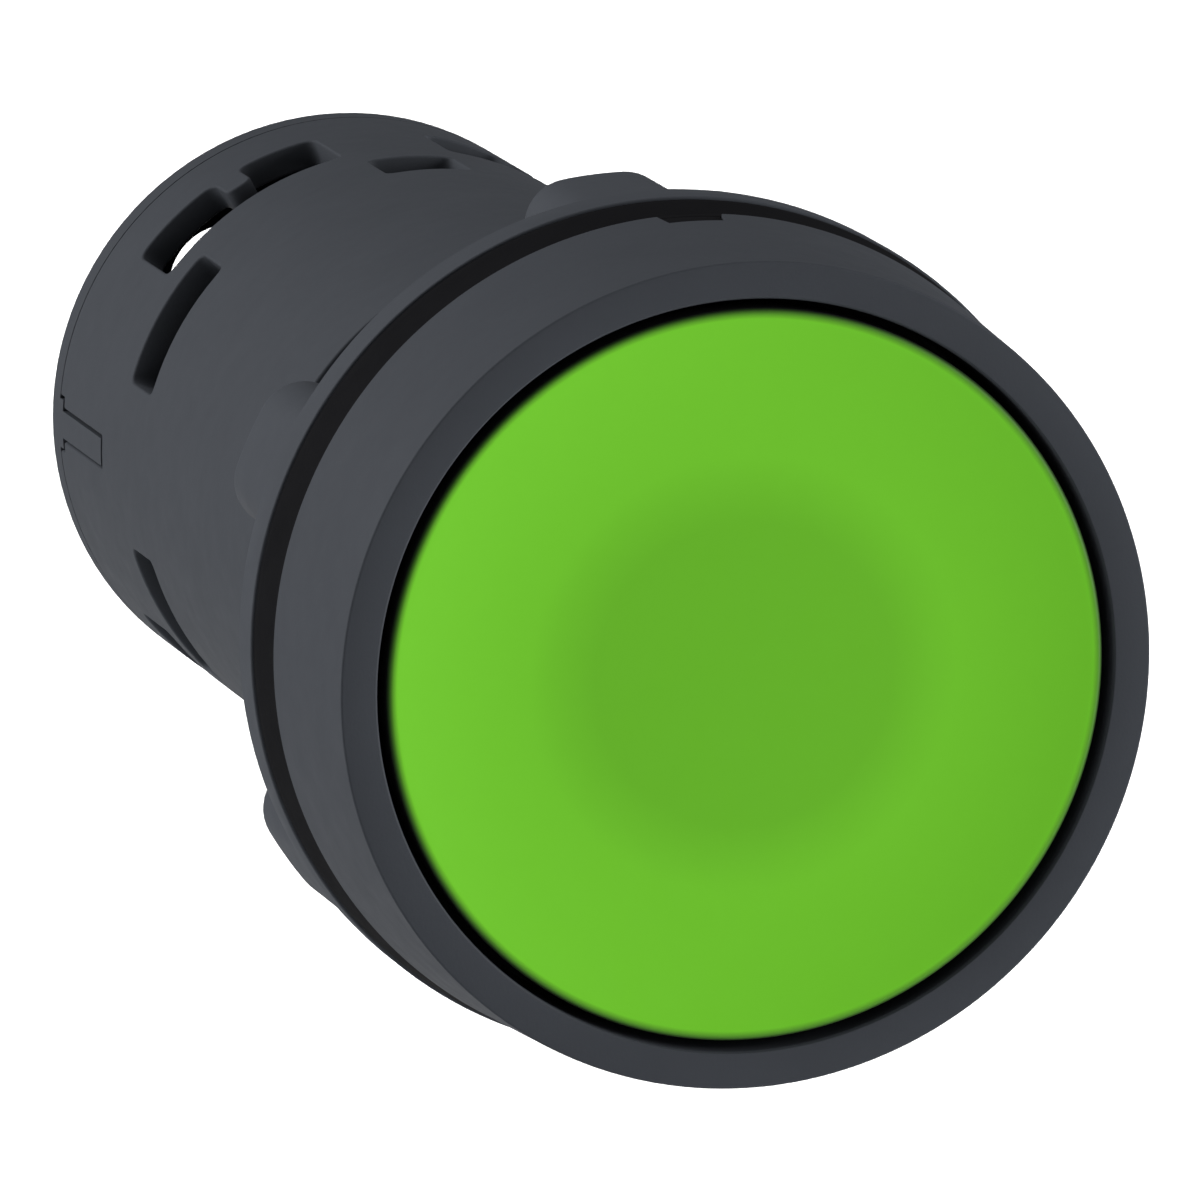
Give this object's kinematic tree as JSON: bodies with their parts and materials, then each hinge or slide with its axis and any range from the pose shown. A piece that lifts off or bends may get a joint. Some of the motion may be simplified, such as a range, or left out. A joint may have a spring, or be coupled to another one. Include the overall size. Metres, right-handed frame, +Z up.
{
  "type": "flush push button",
  "caption": "Round panel push button with a green flush cap, dark head, lobed fixing nut and a slotted cylindrical contact housing with screw terminals.",
  "frame": {"origin": "centre of the panel hole, on the panel's front surface, where the gasket seats", "axes": "-Y points out of the panel towards the finger, +Y runs back along the barrel, +Z is up (the bezel's notch), +X is to the right seen from the front"},
  "size_m": [0.0295, 0.0532, 0.0294],
  "materials": {
    "moulded_plastic": "fine-grained dark blue-grey moulding",
    "green_plastic": "satin green moulding",
    "inner_plastic": "plain black moulding",
    "rubber": "dull black nitrile rubber",
    "spring_steel": "drawn wire",
    "zinc_steel": "bright zinc plate",
    "brass": "rolled strip",
    "silver": null
  },
  "bodies": {
    "body": {"bezel_barrel": "moulded_plastic", "stem_seal": "rubber", "seal_retainer": "zinc_steel", "panel_gasket": "rubber", "return_spring": "spring_steel", "housing": "moulded_plastic", "rear_cover": "moulded_plastic", "contact_block": "inner_plastic", "terminal_upper": "brass", "terminal_lower": "brass", "fixed_tips": "silver"},
    "pusher": {"push_cap": "green_plastic", "plunger": "inner_plastic", "bridge_carrier": "inner_plastic", "contact_spring": "spring_steel"},
    "bridge": {"contact_bridge": "brass", "bridge_tips": "silver"},
    "nut": {"fixing_nut": "moulded_plastic"},
    "upper_clamp": {"clamp_washer_upper": "zinc_steel"},
    "upper_screw": {"terminal_screw_upper": "zinc_steel"},
    "lower_clamp": {"clamp_washer_lower": "zinc_steel"},
    "lower_screw": {"terminal_screw_lower": "zinc_steel"}
  },
  "joints": [
    {"name": "press", "type": "slide", "parent": "body", "child": "pusher", "axis": [0, 1, 0], "range_m": [0, 0.0043], "stiffness_N_per_m": 700, "springref_m": -0.003, "deforming": ["return_spring"]},
    {"name": "bridge_overtravel", "type": "slide", "parent": "pusher", "child": "bridge", "axis": [0, -1, 0], "range_m": [0, 0.00171], "deforming": ["contact_spring"]},
    {"name": "nut_travel", "type": "slide", "parent": "body", "child": "nut", "axis": [0, 1, 0], "range_m": [0, 0.006]},
    {"name": "upper_clamp_slide", "type": "slide", "parent": "body", "child": "upper_clamp", "axis": [0, -1, 0], "range_m": [0, 0.0032]},
    {"name": "upper_screw_turn", "type": "hinge", "parent": "upper_clamp", "child": "upper_screw", "pos_m": [0.0044, 0.0415, 0.0048], "axis": [0, -1, 0], "range_deg": [0, 2304.5]},
    {"name": "lower_clamp_slide", "type": "slide", "parent": "body", "child": "lower_clamp", "axis": [0, -1, 0], "range_m": [0, 0.0032]},
    {"name": "lower_screw_turn", "type": "hinge", "parent": "lower_clamp", "child": "lower_screw", "pos_m": [0.0044, 0.0415, -0.0048], "axis": [0, -1, 0], "range_deg": [0, 2304.5]}
  ],
  "couplings": [
    {"joint": "bridge_overtravel", "follows": "press", "ratio": 0.39535},
    {"joint": "upper_screw_turn", "follows": "upper_clamp_slide", "rad_per_m": 12566},
    {"joint": "lower_screw_turn", "follows": "lower_clamp_slide", "rad_per_m": 12566}
  ]
}
